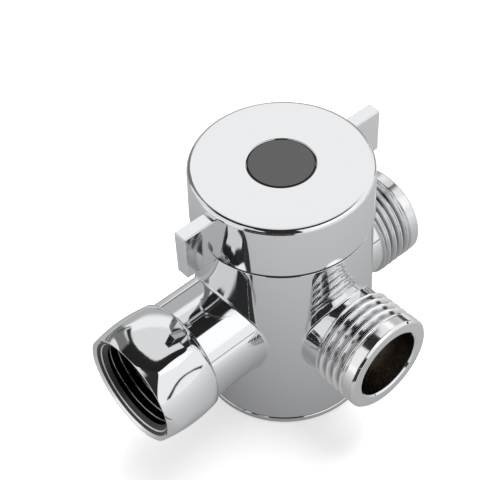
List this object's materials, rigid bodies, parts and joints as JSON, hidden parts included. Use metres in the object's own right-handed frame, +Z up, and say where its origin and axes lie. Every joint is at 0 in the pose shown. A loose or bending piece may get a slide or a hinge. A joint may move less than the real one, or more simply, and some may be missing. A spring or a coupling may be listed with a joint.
{
  "type": "shower diverter valve",
  "caption": "Three-way shower diverter valve: an upright body with a threaded outlet on the side, one opposite the inlet, a swivel inlet nut and a finned turning knob.",
  "frame": {"origin": "centre of the base face, on the axis of the upright body", "axes": "+Z up the body through the knob; the inlet faces -X, the far outlet +X and the side outlet -Y"},
  "size_m": [0.0718, 0.0494, 0.059],
  "materials": {
    "chromed_brass": "polished chrome plate on cast brass",
    "chromed_zinc": "polished chrome plate on zinc",
    "disc_plastic": "satin dark grey plastic",
    "rotor_plastic": "moulded dark acetal",
    "seat_plastic": "turned low-friction plastic",
    "seal_rubber": "moulded black rubber",
    "washer_rubber": "moulded black rubber",
    "bare_brass": "turned bare brass",
    "steel_pin": "ground stainless steel"
  },
  "bodies": {
    "valve_body": {"valve_body": "chromed_brass", "base_cap": "chromed_brass", "base_cap_o_ring": "seal_rubber", "stop_pin": "steel_pin", "inlet_seat_ring": "seat_plastic", "far_seat_ring": "seat_plastic", "side_seat_ring": "seat_plastic", "inlet_seat_o_ring": "seal_rubber", "far_seat_o_ring": "seal_rubber", "side_seat_o_ring": "seal_rubber", "lower_thrust_washer": "seat_plastic", "upper_thrust_washer": "seat_plastic", "inlet_tail": "bare_brass", "tail_o_ring": "seal_rubber", "inlet_washer": "washer_rubber"},
    "knob": {"knob": "chromed_zinc", "index_disc": "disc_plastic", "knob_set_screw": "steel_pin", "rotor": "rotor_plastic", "lower_head_o_ring": "seal_rubber", "upper_head_o_ring": "seal_rubber"},
    "swivel_nut": {"swivel_nut": "chromed_brass"}
  },
  "joints": [
    {"name": "knob_turn", "type": "hinge", "parent": "valve_body", "child": "knob", "pos_m": [0, 0, 0.047], "axis": [0, 0, 1], "range_deg": [0, 180]},
    {"name": "nut_spin", "type": "hinge", "parent": "valve_body", "child": "swivel_nut", "pos_m": [-0.034, 0, 0.0248], "axis": [-1, 0, 0], "continuous": true}
  ]
}
